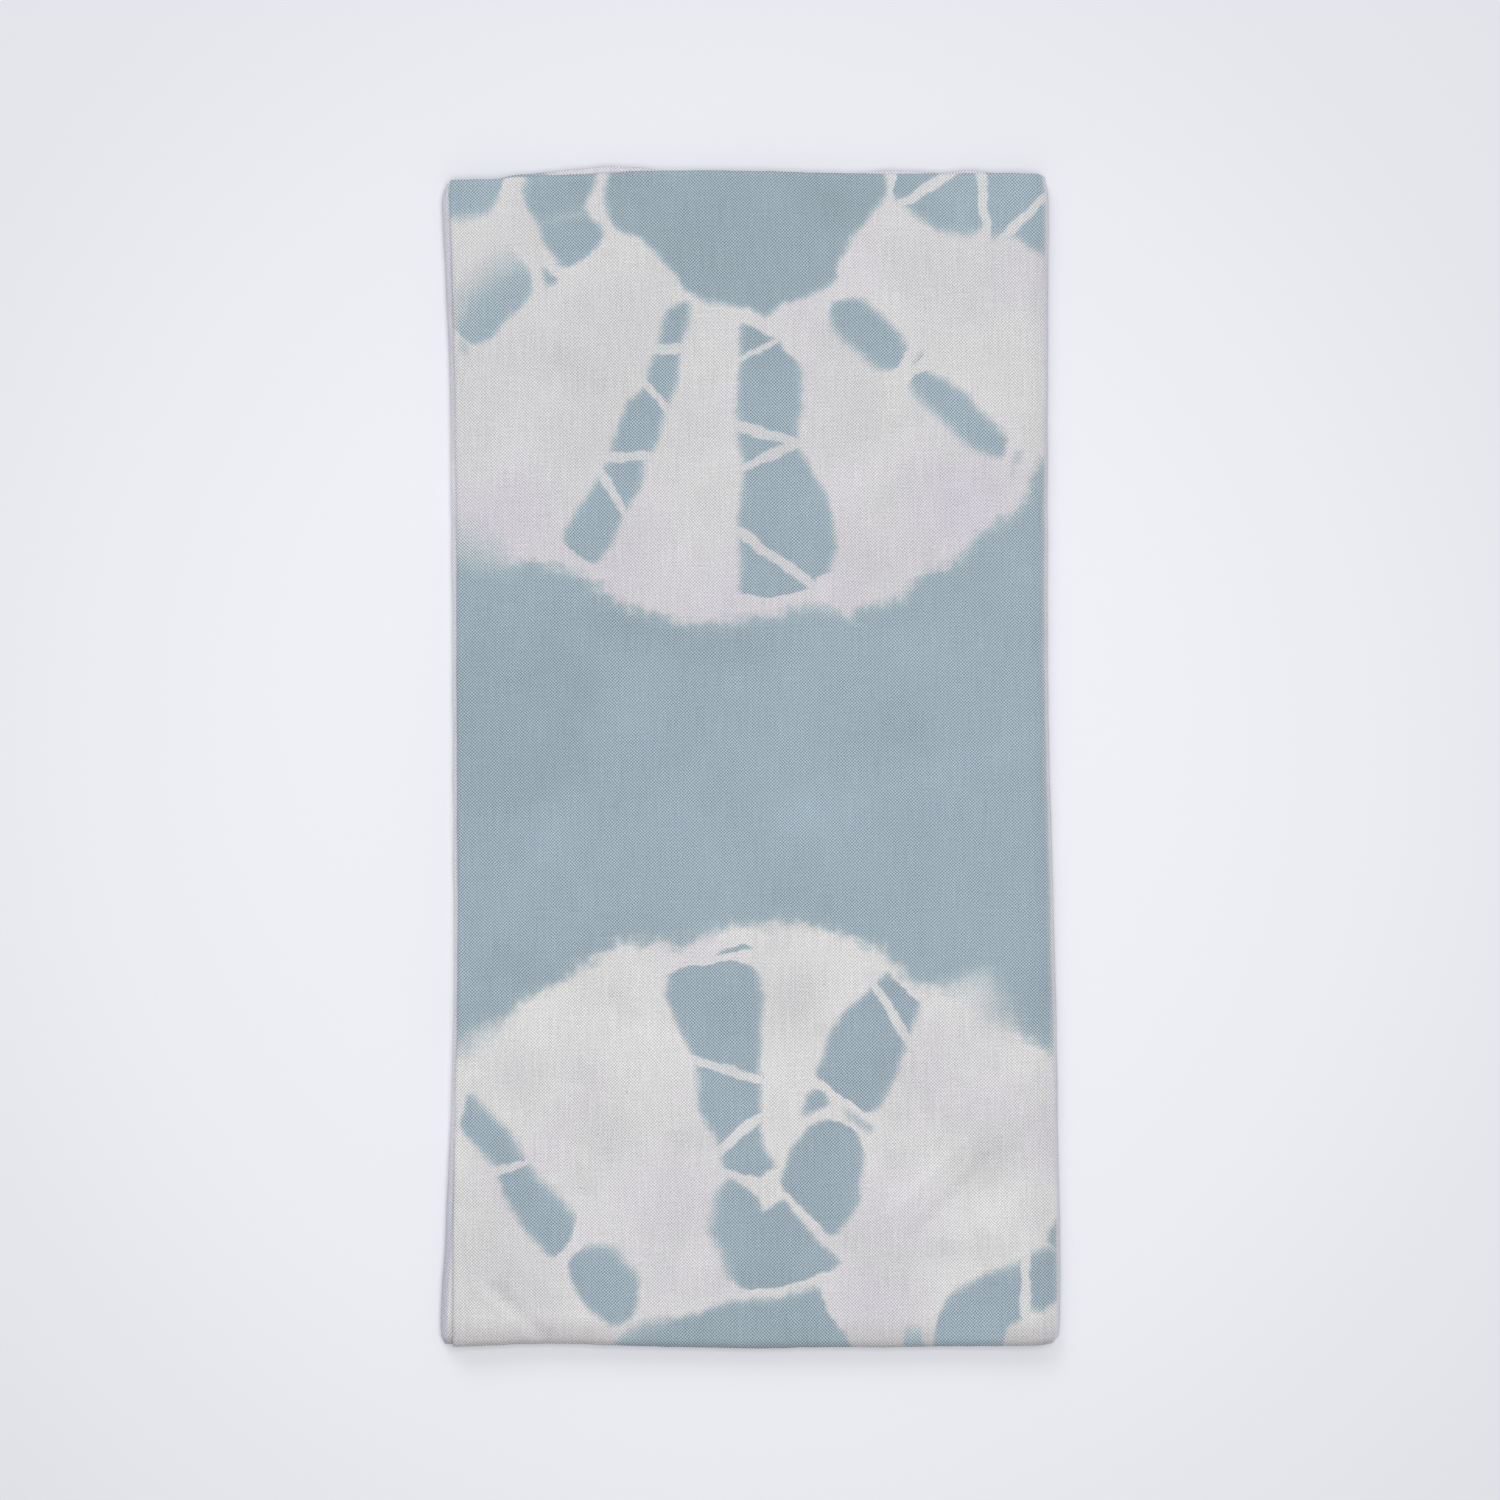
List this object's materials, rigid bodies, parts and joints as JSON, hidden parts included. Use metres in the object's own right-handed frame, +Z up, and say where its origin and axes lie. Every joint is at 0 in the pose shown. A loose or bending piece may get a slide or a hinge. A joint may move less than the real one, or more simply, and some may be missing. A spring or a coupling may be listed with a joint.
{
  "type": "folded tie-dye tenugui towel",
  "caption": "Thin cotton hand towel with a tie-dyed flower pattern, folded flat into a long rectangle of loose layers.",
  "frame": {"origin": "middle of the underside of the folded towel, at the height of the surface that it lies on", "axes": "+X across the towel towards its thick fold, +Y up the towel's long side as it is seen from above, +Z up"},
  "size_m": [0.1754, 0.3342, 0.0077],
  "materials": {
    "dyed_cotton": "matt plain-woven cotton, greyish blue with undyed off-white resist areas"
  },
  "bodies": {
    "root": {"towel": "dyed_cotton"}
  },
  "joints": []
}
